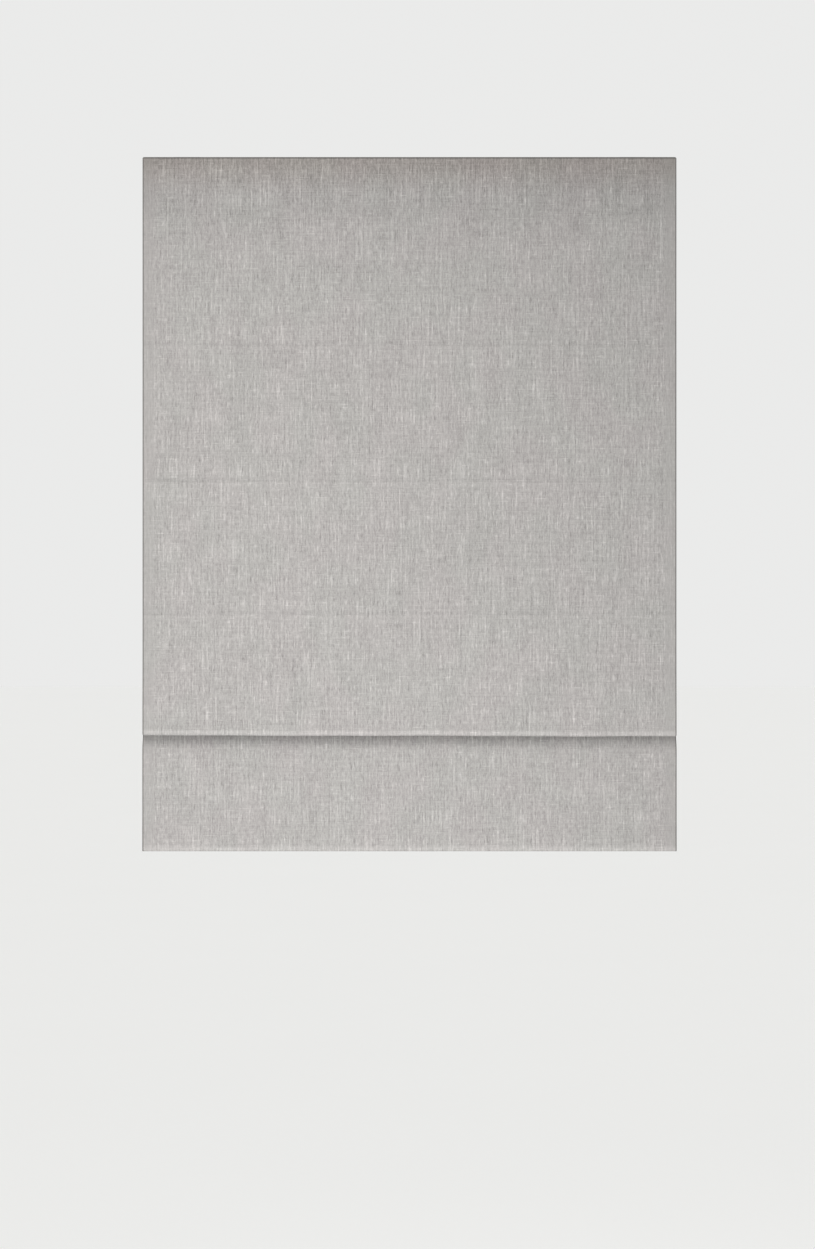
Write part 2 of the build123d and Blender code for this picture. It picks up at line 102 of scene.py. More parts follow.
# ------------------------------------------------------------------ the cloth's path, seen from the side
def smooth(t):
    t = np.clip(t, 0, 1)
    return t * t * (3 - 2 * t)


def arc(cy, cz, r, a0, a1, n):
    a = np.radians(np.linspace(a0, a1, n))
    return np.c_[cy + r * np.cos(a), cz + r * np.sin(a)]


def run_length(p):
    return np.r_[0, np.cumsum(np.linalg.norm(np.diff(p, axis=0), axis=1))]


Z_A = TOP_HEM  # below this the front layer hangs free
LEN = [Z_A - SEAMS[0], SEAMS[0] - SEAMS[1], SEAMS[1] - SEAMS[2]]
LEN.append((SEAMS[2] - FOLD_Z) + math.pi * FOLD_R + (TUCK_Z - FOLD_Z) + math.pi / 2 * TUCK_R)
HEAD = np.vstack([
    np.c_[np.full(40, FRONT + TURN_B), np.linspace(TOP_HEM, TOP - TURN_B / 2, 40)][:-1],
    arc(FRONT + TURN_B / 2, TOP - TURN_B / 2, TURN_B / 2, 0, 180, 25)[:-1],
    np.c_[np.full(60, FRONT), np.linspace(TOP - TURN_B / 2, Z_A, 60)],
])
TAIL = np.vstack([
    arc(TUCK_Y, TUCK_Z, TUCK_R, 90, 0, 24)[:-1],
    np.c_[np.full(200, BACK_Y), np.linspace(TUCK_Z, HEM_C, 200)][:-1],
    arc(HEM_Y, HEM_C, HEM_R, 180, 360, 33)[:-1],
    np.c_[np.full(30, HEM_Y + HEM_R), np.linspace(HEM_C, HEM + HEM_POCKET, 30)][:-1],
    np.c_[np.linspace(HEM_Y + HEM_R, BACK_Y + HEM_OVER, 20), np.linspace(HEM + HEM_POCKET, HEM + HEM_POCKET + 7, 20)][:-1],
    np.c_[np.full(20, BACK_Y + HEM_OVER), np.linspace(HEM + HEM_POCKET + 7, HEM + HEM_TOP, 20)],
])
S_A = run_length(HEAD)[-1]
S_SEAM = [S_A + sum(LEN[: i + 1]) for i in range(4)]  # arc length at each batten's seam
S_TOP = run_length(HEAD[:64])[-1]  # the front layer's first straight point
S_CREASE = S_SEAM[2] + (SEAMS[2] - FOLD_Z) + math.pi / 2 * FOLD_R
S_END = S_SEAM[3] + run_length(TAIL)[-1]


def tail_s(z):
    """Arc length where the back section passes height z."""
    return S_SEAM[3] + math.pi / 2 * TUCK_R + (TUCK_Z - z)


LEAN, PINCH = 2.2, 2.6  # the front layer's lean at the fold, and the fold's radius there


def fold(z0, low, top):
    """The last panel: down from z0, round the fold whose lowest point is low, and back up to the tuck at top."""
    v = np.linspace(z0, low + PINCH, 130)
    lean = LEAN * smooth((z0 - 20 - v) / (z0 - 20 - low - 12))
    yf = FRONT - LEAN
    turn = arc(yf + PINCH, low + PINCH, PINCH, 180, 325, 31)[1:]
    a, d = turn[-1], np.array([FRONT + 2 * FOLD_R, top])
    b = a + 7.0 * np.array([math.sin(math.radians(35)), math.cos(math.radians(35))])
    c = d - [0, min(9.0, 0.6 * (top - a[1]))]
    t = np.linspace(0, 1, 40)[1:, None]
    back = (1 - t) ** 3 * a + 3 * (1 - t) ** 2 * t * b + 3 * (1 - t) * t**2 * c + t**3 * d
    return np.vstack([np.c_[FRONT - lean, v], turn, back, arc(TUCK_Y, top, TUCK_R, 180, 90, 16)[1:]])


def path(q):
    """(points, arc length of each) of the cloth's face side, with the lowest batten lifted by q mm. The lengths between the seams stay as they are."""
    z = [Z_A] + [SEAMS[i] + RATIOS[i] * q for i in range(3)]
    top4 = TUCK_Z + q
    pieces, marks = [HEAD], [run_length(HEAD)]
    # the last panel, with the fold the photograph shows
    zc = (z[3] + top4 + math.pi * FOLD_R + math.pi / 2 * TUCK_R - LEN[3]) / 2 - FOLD_R - 1.4
    last = fold(z[3], zc, top4)
    outs = {3: lambda v: FRONT - LEAN * smooth((z[3] - 20 - v) / (z[3] - 20 - zc - 12))}
    found = {3: last}
    for i in (2, 1, 0):
        drop = z[i] - z[i + 1]
        slack = LEN[i] - drop
        if slack < 3:
            found[i] = np.c_[np.full(160, FRONT), np.linspace(z[i], z[i + 1], 160)]
            outs[i] = lambda v: np.full_like(v, FRONT)
            continue
        guess = z[i + 1] - slack / 2
        extra = sum(float(np.clip((z[j + 1] - guess) / 30, 0, 1)) for j in range(i + 1, 3))
        out, reach = 10 + 10 * extra, 1.5 * drop + 19 * extra
        front = lambda v, i=i, out=out, reach=reach: FRONT - out * smooth((z[i] - v) / reach)
        behind = outs[i + 1]
        back = lambda v, behind=behind: behind(v) - 1.0

        def loop(zb):
            a = np.linspace(z[i], zb, 120)
            b = np.linspace(zb, z[i + 1] - 0.5, 120)
            yf, yb = front(np.array([zb]))[0], back(np.array([zb]))[0]
            r = (yb - yf) / 2
            return np.vstack([
                np.c_[front(a), a][:-1],
                arc((yf + yb) / 2, zb, r, 180, 360, 33)[:-1],
                np.c_[back(b), b][:-1],
                arc(FRONT - 0.5, z[i + 1] - 0.5, 0.5, 180, 0, 9),
            ])

        lo, hi = z[i + 1] - slack, z[i + 1] - 1
        for _ in range(40):
            mid = (lo + hi) / 2
            if run_length(loop(mid))[-1] > LEN[i]:
                lo = mid
            else:
                hi = mid
        found[i], outs[i] = loop((lo + hi) / 2), front
    at = S_A
    for i in range(4):
        s = run_length(found[i])
        pieces.append(found[i])
        marks.append(at + s * LEN[i] / s[-1])
        at += LEN[i]
    pieces.append(TAIL + [0, q])
    marks.append(at + run_length(TAIL))
    p, s = np.vstack(pieces), np.concatenate(marks)
    keep = np.r_[True, np.diff(s) > 1e-6]
    return p[keep], s[keep]


def sample(q, s):
    """(point, unit normal towards the lining) at arc lengths s."""
    p, at = path(q)
    e = 0.06
    y, z = np.interp(s, at, p[:, 0]), np.interp(s, at, p[:, 1])
    ty = np.interp(s + e, at, p[:, 0]) - np.interp(s - e, at, p[:, 0])
    tz = np.interp(s + e, at, p[:, 1]) - np.interp(s - e, at, p[:, 1])
    n = np.hypot(ty, tz) + 1e-12
    return np.c_[y, z], np.c_[-tz / n, ty / n]


_last = fold(SEAMS[2], CREASE - 1.4, TUCK_Z)
S_LOW = S_SEAM[2] + LEN[3] * run_length(_last)[int(np.argmin(_last[:, 1]))] / run_length(_last)[-1]  # the fold's lowest point

# close enough together that the cloth mixed between two of them stays within 2.5% of its length
STAGES = [LIFT[0] * 1000, 0.0, *(round(LIFT[1] * 1000 * k / 15, 1) for k in range(1, 15)), LIFT[1] * 1000]
WEIGHT_AT = np.array([0, S_A, *S_SEAM, S_END])
WEIGHTS = np.array([0, 0, *RATIOS, 1, 1])

# ------------------------------------------------------------------ how the hanging cloth isn't quite flat
_waves = [(rng.uniform(0.6, 1.6), rng.uniform(0.4, 1.3), rng.uniform(0, 6.28), rng.uniform(0, 6.28), rng.uniform(0.5, 1.0)) for _ in range(9)]


def ripple(x, s):
    total = np.zeros(np.broadcast(x, s).shape)
    for a, b, p, r, k in _waves:
        total = total + k * np.sin(x / 787 * 6.28 * a + p + 0.7 * np.sin(s / 260 + r)) * np.sin(s / 420 * 6.28 * b + r)
    return total / 9 * 1.9


def slack_cloth(s):
    """1 between stiff places, 0 at the tape, the battens, the fold and the bar."""
    stops = [(0, S_A + 4), (S_SEAM[0] - 3, S_SEAM[0] + 18), (S_SEAM[1] - 3, S_SEAM[1] + 18), (S_SEAM[2] - 3, S_SEAM[2] + 18),
             (S_LOW - 10, S_SEAM[3] + 20), (S_END - 108, S_END)]
    out = np.ones_like(s, dtype=float)
    for a, b in stops:
        gap = np.maximum(np.maximum(a - s, s - b), 0)
        out = out * smooth(gap / 70)
    return out


def seam_dent(x, s):
    """Depth of the stitched lines, which pull the cloth in a little."""
    out = np.zeros(np.broadcast(x, s).shape)
    for k, at in enumerate(S_SEAM[:3]):
        pull = 1 + 0.3 * np.sin(x / 41 + 2 * k) + 0.2 * np.sin(x / 13.7 + k)
        out = out + 0.14 * pull * np.exp(-(((s - at) / 1.6) ** 2)) + 0.46 * pull * np.exp(-(((s - at) / 4.6) ** 2))
    return out


def crease_shift(x, s):
    """The fold's edge isn't dead level: 1.2 mm lower at the right, with a slight wave."""
    level = -0.75 * x / (W / 2) + 0.28 * np.sin(x / 61 + 1.0) + 0.18 * np.sin(x / 23.0)
    window = smooth((s - (S_SEAM[2] + 25)) / 90) * (1 - smooth((s - (S_LOW + 8)) / 12))
    return level * window


FLARE = 1.3  # the weighted bottom section spreads a little past the front layer


def swept(outline, s_values, closed_ends=True, flat=False):
    """Vertices for each stage, faces and cloth coordinates of an outline [(x, depth)] carried along arc lengths s_values."""
    outline = np.asarray(outline, float)
    s_values = np.asarray(s_values, float)
    n, m = len(outline), len(s_values)
    x = np.tile(outline[:, 0], m)
    d = np.tile(outline[:, 1], m)
    s = np.repeat(s_values, n)
    bump = ripple(x, s) * slack_cloth(s) * 0.75
    bump = bump + (0 if flat else 1) * seam_dent(x, s)
    level = crease_shift(x, s)
    x_at = x * (1 + (1.1 + FLARE * smooth((s - tail_s(-846)) / 32)) / (W / 2))
    stages = []
    for q in STAGES:
        p, nrm = sample(q, s_values)
        p, nrm = np.repeat(p, n, 0), np.repeat(nrm, n, 0)
        y = p[:, 0] + nrm[:, 0] * (d + bump)
        z = p[:, 1] + nrm[:, 1] * (d + bump) + level
        stages.append(np.c_[x_at, y, z])
    i, j = np.meshgrid(np.arange(m - 1), np.arange(n), indexing="ij")
    a, b = i * n + j, i * n + (j + 1) % n
    faces = np.stack([a, b, b + n, a + n], -1).reshape(-1, 4)
    return stages, faces, np.c_[x, s, d], n, m


class Shells:
    """Collects closed shells that become one mesh object."""

    def __init__(self):
        self.stages, self.faces, self.co, self.mat, self.count = [[] for _ in STAGES], [], [], [], 0

    def add(self, stages, faces, co, mat=0):
        for k, v in enumerate(stages):
            self.stages[k].append(v)
        for f in faces:
            self.faces.append([int(i) + self.count for i in f])
            self.mat.append(mat)
        self.co.append(co)
        self.count += len(co)

    def slab(self, xs, d0, d1, s_values, mat=0, flat=False):
        """A layer between two depths: its two faces and its four edges."""
        xs = np.asarray(xs, float)
        outline = np.r_[np.c_[xs, np.full(len(xs), d0)], np.c_[xs[::-1], np.full(len(xs), d1)]]
        stages, faces, co, n, m = swept(outline, s_values, flat=flat)
        k = len(xs)
        caps = []
        for j in range(k - 1):
            caps.append([j + 1, j, n - 1 - j, n - 2 - j])
            o = (m - 1) * n
            caps.append([o + j, o + j + 1, o + n - 2 - j, o + n - 1 - j])
        self.add(stages, list(faces) + caps, co, mat)

    def tube(self, outline, s_values, mat=0):
        stages, faces, co, n, m = swept(outline, s_values)
        self.add(stages, list(faces) + [list(range(n))[::-1], [(m - 1) * n + j for j in range(n)]], co, mat)

    def rigid(self, points, faces, co, weight, mat=0):
        """A piece that keeps its shape and goes up by weight times the lift."""
        self.add([points + [0, 0, weight * q] for q in STAGES], faces, co, mat)

    def object(self, name, materials):
        mesh = bpy.data.meshes.new(name)
        rest = np.vstack(self.stages[STAGES.index(0.0)]) / 1000
        mesh.from_pydata(rest.tolist(), [], self.faces)
        mesh.update()
        o = bpy.data.objects.new(name, mesh)
        bpy.context.scene.collection.objects.link(o)
        for m in materials:
            mesh.materials.append(m)
        mesh.polygons.foreach_set("material_index", np.array(self.mat, np.int32))
        mesh.polygons.foreach_set("use_smooth", np.ones(len(self.faces), bool))
        mesh.set_sharp_from_angle(angle=math.radians(48))
        co = np.vstack(self.co).astype(np.float32)
        a = mesh.attributes.new("cloth_co", "FLOAT_VECTOR", "POINT")
        a.data.foreach_set("vector", co.ravel())
        for k in range(len(STAGES)):
            a = mesh.attributes.new(f"drop_{k}", "FLOAT_VECTOR", "POINT")
            a.data.foreach_set("vector", (np.vstack(self.stages[k]) / 1000).astype(np.float32).ravel())
        return o


def follow_lift(o, weights=None):
    """Bakes o's transform into its mesh and, when no weights are given, works out each point's weight by how far along
    the cloth it is; the weights go no further.
    """
    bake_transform(o)
    if weights is None:
        co = np.zeros(len(o.data.vertices) * 3, np.float32)
        o.data.attributes["cloth_co"].data.foreach_get("vector", co)
        weights = np.interp(co.reshape(-1, 3)[:, 1], WEIGHT_AT, WEIGHTS)


def loops_modifier():
    """Geometry nodes: reads how far the bottom has been lifted and mixes the stored shapes of the cloth."""
    g = bpy.data.node_groups.new("hanging_loops", "GeometryNodeTree")
    g.interface.new_socket("Geometry", in_out="INPUT", socket_type="NodeSocketGeometry")
    g.interface.new_socket("Geometry", in_out="OUTPUT", socket_type="NodeSocketGeometry")
    a, b = g.nodes.new("NodeGroupInput"), g.nodes.new("NodeGroupOutput")
    info = g.nodes.new("GeometryNodeObjectInfo")
    info.transform_space = "ORIGINAL"
    info.inputs["Object"].default_value = frame["bodies"]["bottom"]
    xyz = g.nodes.new("ShaderNodeSeparateXYZ")
    g.links.new(info.outputs["Location"], xyz.inputs[0])
    last = None
    for k in range(len(STAGES)):
        named = g.nodes.new("GeometryNodeInputNamedAttribute")
        named.data_type = "FLOAT_VECTOR"
        named.inputs["Name"].default_value = f"drop_{k}"
        here = named.outputs["Attribute"]
        if last is None:
            last = here
            continue
        r = g.nodes.new("ShaderNodeMapRange")
        r.clamp = True
        g.links.new(xyz.outputs["Z"], r.inputs["Value"])
        r.inputs["From Min"].default_value = STAGES[k - 1] / 1000
        r.inputs["From Max"].default_value = STAGES[k] / 1000
        mix = g.nodes.new("ShaderNodeMix")
        mix.data_type = "VECTOR"
        g.links.new(r.outputs["Result"], mix.inputs["Factor"])
        ports = [i for i in mix.inputs if i.type == "VECTOR"]
        g.links.new(last, ports[-2])
        g.links.new(here, ports[-1])
        last = next(x for x in mix.outputs if x.type == "VECTOR")
    put = g.nodes.new("GeometryNodeSetPosition")
    g.links.new(a.outputs[0], put.inputs["Geometry"])
    g.links.new(last, put.inputs["Position"])
    g.links.new(put.outputs["Geometry"], b.inputs[0])
    return g


LOOPS = loops_modifier()


def hang(o):
    follow_lift(o)
    m = o.modifiers.new("hanging_loops", "NODES")
    m.node_group = LOOPS


# ------------------------------------------------------------------ materials
def srgb(r, g, b):
    return tuple((c / 255 / 12.92 if c / 255 <= 0.04045 else ((c / 255 + 0.055) / 1.055) ** 2.4) for c in (r, g, b)) + (1.0,)


class Mat:
    def __init__(self, name, **inputs):
        self.m = bpy.data.materials.new(name)
        self.m.use_nodes = True
        self.t = self.m.node_tree
        self.bsdf = self.t.nodes["Principled BSDF"]
        for k, v in inputs.items():
            self.bsdf.inputs[k.replace("_", " ")].default_value = v

    def node(self, kind, **props):
        n = self.t.nodes.new(kind)
        for k, v in props.items():
            setattr(n, k, v)
        return n

    def link(self, a, b):
        self.t.links.new(a, b)

    def put(self, socket, v):
        if isinstance(v, (int, float)):
            socket.default_value = v
        else:
            self.link(v, socket)

    def math(self, op, a, b=None, c=None, clamp=False):
        n = self.node("ShaderNodeMath", operation=op, use_clamp=clamp)
        for k, v in enumerate((a, b, c)):
            if v is not None:
                self.put(n.inputs[k], v)
        return n.outputs[0]

    def add(self, *v):
        out = v[0]
        for k in v[1:]:
            out = self.math("ADD", out, k)
        return out

    def mul(self, a, b):
        return self.math("MULTIPLY", a, b)

    def xyz(self, x, y, z=0.0):
        n = self.node("ShaderNodeCombineXYZ")
        for k, v in enumerate((x, y, z)):
            self.put(n.inputs[k], v)
        return n.outputs[0]

    def noise(self, x, y, z=0.0, detail=0.0, rough=0.5, distortion=0.0):
        n = self.node("ShaderNodeTexNoise")
        n.inputs["Scale"].default_value = 1
        n.inputs["Detail"].default_value = detail
        n.inputs["Roughness"].default_value = rough
        n.inputs["Distortion"].default_value = distortion
        self.link(self.xyz(x, y, z), n.inputs["Vector"])
        return n.outputs[0]

    def ramp(self, v, a, b, c=0.0, d=1.0, smooth=True):
        n = self.node("ShaderNodeMapRange", interpolation_type="SMOOTHSTEP" if smooth else "LINEAR")
        self.put(n.inputs["Value"], v)
        n.inputs["From Min"].default_value, n.inputs["From Max"].default_value = a, b
        n.inputs["To Min"].default_value, n.inputs["To Max"].default_value = c, d
        return n.outputs["Result"]

    def mix(self, f, a, b):
        n = self.node("ShaderNodeMix", data_type="RGBA")
        self.put(n.inputs["Factor"], f)
        ports = [i for i in n.inputs if i.type == "RGBA"]
        for p, v in zip(ports, (a, b)):
            if isinstance(v, tuple):
                p.default_value = v
            else:
                self.link(v, p)
        return next(o for o in n.outputs if o.type == "RGBA")

    def bump(self, height, distance, strength=1.0):
        n = self.node("ShaderNodeBump")
        n.inputs["Strength"].default_value = strength
        n.inputs["Distance"].default_value = distance
        self.link(height, n.inputs["Height"])
        self.link(n.outputs["Normal"], self.bsdf.inputs["Normal"])

    def co(self, attribute="cloth_co"):
        a = self.node("ShaderNodeAttribute", attribute_name=attribute)
        s = self.node("ShaderNodeSeparateXYZ")
        self.link(a.outputs["Vector"], s.inputs[0])
        return s.outputs

    def object_co(self):
        a = self.node("ShaderNodeTexCoord")
        s = self.node("ShaderNodeSeparateXYZ")
        self.link(a.outputs["Object"], s.inputs[0])
        return [self.mul(o, 1000.0) for o in s.outputs]


def linen():
    """Heathered grey weave: uneven warp threads with long light slubs, finer weft threads across."""
    m = Mat("linen_cloth", Roughness=0.88)
    m.bsdf.inputs["Specular IOR Level"].default_value = 0.25
    m.bsdf.inputs["Sheen Weight"].default_value = 0.12
    m.bsdf.inputs["Sheen Roughness"].default_value = 0.45
    x, s, d = m.co()
    wob = m.noise(m.mul(x, 1 / 9), m.mul(s, 1 / 90), 3.0)
    xw = m.add(x, m.mul(wob, 1.3))  # threads wander a little
    # uneven warp threads, light slubs and dark gaps
    fine = m.noise(m.mul(xw, 1 / 2.1), m.mul(s, 1 / 7.0), 1.0, 1.0)
    grit = m.noise(m.mul(x, 1 / 1.5), m.mul(s, 1 / 1.9), 5.0, 0.0)
    run = m.noise(m.mul(xw, 1 / 2.2), m.mul(s, 1 / 60), 91.0, 1.0)
    slub_a = m.noise(m.mul(xw, 1 / 2.2), m.mul(s, 1 / 16), 11.0, 1.0)
    slub_b = m.noise(m.mul(xw, 1 / 2.1), m.mul(s, 1 / 40), 23.0, 0.5)
    dark_a = m.noise(m.mul(xw, 1 / 2.2), m.mul(s, 1 / 16), 37.0, 1.0)
    weft = m.noise(m.mul(x, 1 / 17), m.mul(s, 1 / 1.9), 51.0, 1.0)
    pick = m.noise(m.mul(x, 1 / 75), m.mul(s, 1 / 1.9), 57.0, 0.0)
    cloud = m.noise(m.mul(x, 1 / 26), m.mul(s, 1 / 58), 67.0, 2.0)
    band = m.noise(m.mul(x, 1 / 7), m.mul(s, 1 / 240), 79.0, 1.0)
    hue = m.noise(m.mul(x, 1 / 70), m.mul(s, 1 / 95), 83.0, 1.0)
    light_a = m.ramp(slub_a, 0.55, 0.80)
    light_b = m.ramp(slub_b, 0.57, 0.76)
    dark = m.ramp(dark_a, 0.55, 0.80)
    weft_l = m.ramp(weft, 0.58, 0.80)
    # plain weave: the yarns' round tops, and the faint groups that the reed leaves
    warp_y = m.math("ABSOLUTE", m.math("SINE", m.mul(xw, math.pi / 0.86)))
    weft_y = m.math("ABSOLUTE", m.math("SINE", m.mul(s, math.pi / 0.92)))
    cross = m.mul(m.math("SINE", m.mul(xw, math.pi / 0.86)), m.math("SINE", m.mul(s, math.pi / 0.92)))
    reed = m.mul(m.math("SINE", m.mul(xw, 2 * math.pi / 6.5)), m.math("SUBTRACT", m.ramp(cloud, 0.35, 0.65), 0.2))
    # the turned edge is smoother: three layers, pressed
    edge = m.ramp(m.math("ABSOLUTE", x), W / 2 - 19, W / 2 - 14)
    calm = m.math("SUBTRACT", 0.94, m.mul(edge, 0.46))
    v = m.add(
        m.mul(m.math("SUBTRACT", fine, 0.5), 0.45),
        m.mul(m.math("SUBTRACT", grit, 0.5), 0.23),
        m.mul(m.math("SUBTRACT", run, 0.5), 0.27),
        m.mul(light_a, 0.24),
        m.mul(light_b, 0.17),
        m.mul(dark, -0.17),
        m.mul(weft_l, 0.20),
        m.mul(m.math("SUBTRACT", pick, 0.5), 0.13),
        m.mul(m.math("SUBTRACT", cloud, 0.5), 0.16),
        m.mul(m.math("SUBTRACT", band, 0.5), 0.11),
        m.mul(cross, 0.05),
        m.mul(reed, 0.055),
    )
    v = m.mul(v, calm)
    # painted highlight: the fold's lower edge is made paler where the rounded edge would catch light
    painted_fold_highlight = m.ramp(m.math("ABSOLUTE", m.math("SUBTRACT", s, S_LOW - 4.4)), 2.8, 6.4, 1.0, 0.0)
    v = m.add(v, m.mul(painted_fold_highlight, 0.13))
    # painted shade: darker along the headrail, where no light comes through the cloth, fading out over the top 150 mm
    painted_top_shade = m.add(m.mul(m.ramp(s, S_A + 16, S_A - 30), 0.08), m.mul(m.ramp(s, S_TOP + 150, S_TOP + 16), 0.08))
    v = m.math("SUBTRACT", v, painted_top_shade)
    # the stitched lines: painted shade just above each and a painted highlight over the pocket below, as if the cloth
    # were drawn in above them and stood out below
    for at in S_SEAM[:3]:
        above = m.ramp(m.math("ABSOLUTE", m.math("SUBTRACT", s, at - 3.0)), 0.5, 4.0, 1.0, 0.0)
        below = m.ramp(s, at + 14, at + 2)
        v = m.add(v, m.mul(above, -0.014), m.mul(m.mul(below, m.math("GREATER_THAN", s, at)), 0.018))
    # painted light: the cloth is paler from just above the hem's lower edge, standing in for light glowing through it
    hem = m.ramp(s, S_END - 42.6 - 14, S_END - 42.6 - 5)
    v = m.add(v, m.mul(hem, 0.14))
    # painted shadow of the fold's edge on the section behind it
    v = m.add(v, m.mul(m.mul(m.ramp(s, tail_s(-868), tail_s(-862)), m.ramp(s, tail_s(-838), tail_s(-846))), -0.09))
    fac = m.math("ADD", v, 0.307, clamp=True)
    pinkish = m.mix(fac, srgb(130.5, 127, 126), srgb(222.5, 218.5, 216.5))
    greenish = m.mix(fac, srgb(129.5, 127.5, 125.5), srgb(221.5, 219, 216.5))
    col = m.mix(m.ramp(hue, 0.35, 0.65), greenish, pinkish)
    # painted warm tint near the top, standing in for the warmer light where no daylight comes through the cloth
    painted_warm_tint = m.node("ShaderNodeMix", data_type="RGBA", blend_type="MULTIPLY")
    m.put(painted_warm_tint.inputs["Factor"], m.mul(m.ramp(s, S_A + 24, S_A - 36), 0.8))
    ports = [i for i in painted_warm_tint.inputs if i.type == "RGBA"]
    m.link(col, ports[0])
    ports[1].default_value = (1.0, 0.950, 0.918, 1)
    col = next(o for o in painted_warm_tint.outputs if o.type == "RGBA")
    # painted shade: the outer edges of the folds are darkened where they would catch less light
    painted_edge_shade = m.math("MAXIMUM", m.ramp(m.math("ABSOLUTE", x), W / 2 - 2.4, W / 2 - 0.7), m.ramp(s, S_TOP + 2.6, S_TOP - 0.4))
    painted_edge_shade = m.mul(m.mul(painted_edge_shade, m.ramp(s, S_TOP - 3.6, S_TOP - 2.6)), m.ramp(d, 1.4, 0.8))
    painted_edge_shade = m.mul(painted_edge_shade, m.ramp(s, tail_s(HEM_C) + 9, tail_s(HEM_C) + 6))
    col = m.mix(m.mul(painted_edge_shade, 0.84), col, srgb(90, 88, 86))
    m.link(col, m.bsdf.inputs["Base Color"])
    h = m.add(m.mul(warp_y, 0.35), m.mul(weft_y, 0.25), m.mul(light_a, 0.5), m.mul(light_b, 0.45), m.mul(fine, 0.5), m.mul(dark, -0.3))
    m.bump(h, 0.00022, 0.55)
    return m.m


def lining_cloth():
    m = Mat("lining_cloth", Roughness=0.85)
    m.bsdf.inputs["Specular IOR Level"].default_value = 0.25
    m.bsdf.inputs["Sheen Weight"].default_value = 0.08
    x, s, d = m.co()
    warp = m.math("SINE", m.mul(x, 2 * math.pi / 0.9))
    weft = m.math("SINE", m.mul(s, 2 * math.pi / 1.0))
    twill = m.math("SINE", m.mul(m.add(x, s), 2 * math.pi / 1.9))
    grain = m.noise(m.mul(x, 1 / 0.8), m.mul(s, 1 / 7), 5.0, 2.0)
    cloud = m.noise(m.mul(x, 1 / 60), m.mul(s, 1 / 90), 9.0, 2.0)
    v = m.add(m.mul(m.math("SUBTRACT", grain, 0.5), 0.35), m.mul(m.math("SUBTRACT", cloud, 0.5), 0.25), m.mul(twill, 0.05))
    fac = m.math("ADD", v, 0.5, clamp=True)
    m.link(m.mix(fac, srgb(184, 180, 172), srgb(224, 220, 212)), m.bsdf.inputs["Base Color"])
    m.bump(m.add(m.mul(warp, 0.4), m.mul(weft, 0.4), m.mul(twill, 0.5), grain), 0.00012, 0.5)
    return m.m


def thread(name, color):
    m = Mat(name, Roughness=0.7)
    m.bsdf.inputs["Sheen Weight"].default_value = 0.1
    x, y, z = m.object_co()
    twist = m.math("SINE", m.mul(m.add(x, m.mul(z, 1.0), y), 2 * math.pi / 0.45))
    grain = m.noise(m.mul(x, 2.0), m.mul(z, 2.0), 2.0, 1.0)
    fac = m.math("ADD", m.add(m.mul(twist, 0.2), m.mul(grain, 0.4)), 0.2, clamp=True)
    r, g, b = color
    m.link(m.mix(fac, srgb(r * 0.86, g * 0.86, b * 0.86), srgb(r, g, b)), m.bsdf.inputs["Base Color"])
    m.bump(twist, 0.00006, 0.5)
    return m.m


def plastic(name, color, rough=0.45, spec=0.4, fine=0.35, **inputs):
    """Moulded plastic: fine spark texture, faint flow lines, slightly rubbed."""
    m = Mat(name, **inputs)
    m.bsdf.inputs["Specular IOR Level"].default_value = spec
    x, y, z = m.object_co()
    grain = m.noise(m.mul(x, 1 / fine), m.mul(y, 1 / fine), m.mul(z, 1 / fine), 2.0)
    cloud = m.noise(m.mul(x, 1 / 14), m.mul(y, 1 / 14), m.mul(z, 1 / 14), 3.0)
    r, g, b = color
    fac = m.math("ADD", m.mul(cloud, 0.6), m.mul(grain, 0.4), clamp=True)
    m.link(m.mix(fac, srgb(r * 0.94, g * 0.94, b * 0.945), srgb(min(255, r * 1.03), min(255, g * 1.03), min(255, b * 1.03))), m.bsdf.inputs["Base Color"])
    m.link(m.ramp(cloud, 0.3, 0.7, rough - 0.05, rough + 0.07), m.bsdf.inputs["Roughness"])
    m.bump(grain, 0.00004, 0.4)
    return m.m


def metal(name, color, rough=0.35, grain_axis=0, blotch=0.0):
    m = Mat(name, Metallic=1.0)
    x, y, z = m.object_co()
    c = [x, y, z]
    k = [1 / 0.12] * 3
    k[grain_axis] = 1 / 22
    line = m.noise(m.mul(c[0], k[0]), m.mul(c[1], k[1]), m.mul(c[2], k[2]), 2.0)
    cloud = m.noise(m.mul(x, 1 / 9), m.mul(y, 1 / 9), m.mul(z, 1 / 9), 3.0)
    r, g, b = color
    fac = m.math("ADD", m.mul(line, 0.5), m.mul(cloud, 0.5), clamp=True)
    m.link(m.mix(fac, srgb(r * 0.86, g * 0.86, b * 0.87), srgb(min(255, r * 1.08), min(255, g * 1.08), min(255, b * 1.08))), m.bsdf.inputs["Base Color"])
    m.link(m.ramp(m.add(m.mul(line, 0.6), m.mul(cloud, 0.4)), 0.3, 0.7, rough - 0.08, rough + 0.14), m.bsdf.inputs["Roughness"])
    m.bump(line, 0.00003, 0.4)
    return m.m


def powder_coat(name, color):
    m = Mat(name)
    m.bsdf.inputs["Specular IOR Level"].default_value = 0.45
    m.bsdf.inputs["Coat Weight"].default_value = 0.08
    m.bsdf.inputs["Coat Roughness"].default_value = 0.3
    x, y, z = m.object_co()
    peel = m.noise(m.mul(x, 1 / 1.6), m.mul(y, 1 / 1.1), m.mul(z, 1 / 1.1), 2.0)
    cloud = m.noise(m.mul(x, 1 / 60), m.mul(y, 1 / 20), m.mul(z, 1 / 20), 3.0)
    r, g, b = color
    m.link(m.mix(cloud, srgb(r * 0.965, g * 0.965, b * 0.96), srgb(min(255, r * 1.02), min(255, g * 1.02), min(255, b * 1.02))), m.bsdf.inputs["Base Color"])
    m.link(m.ramp(peel, 0.3, 0.7, 0.33, 0.46), m.bsdf.inputs["Roughness"])
    m.bump(peel, 0.00005, 0.35)
    return m.m


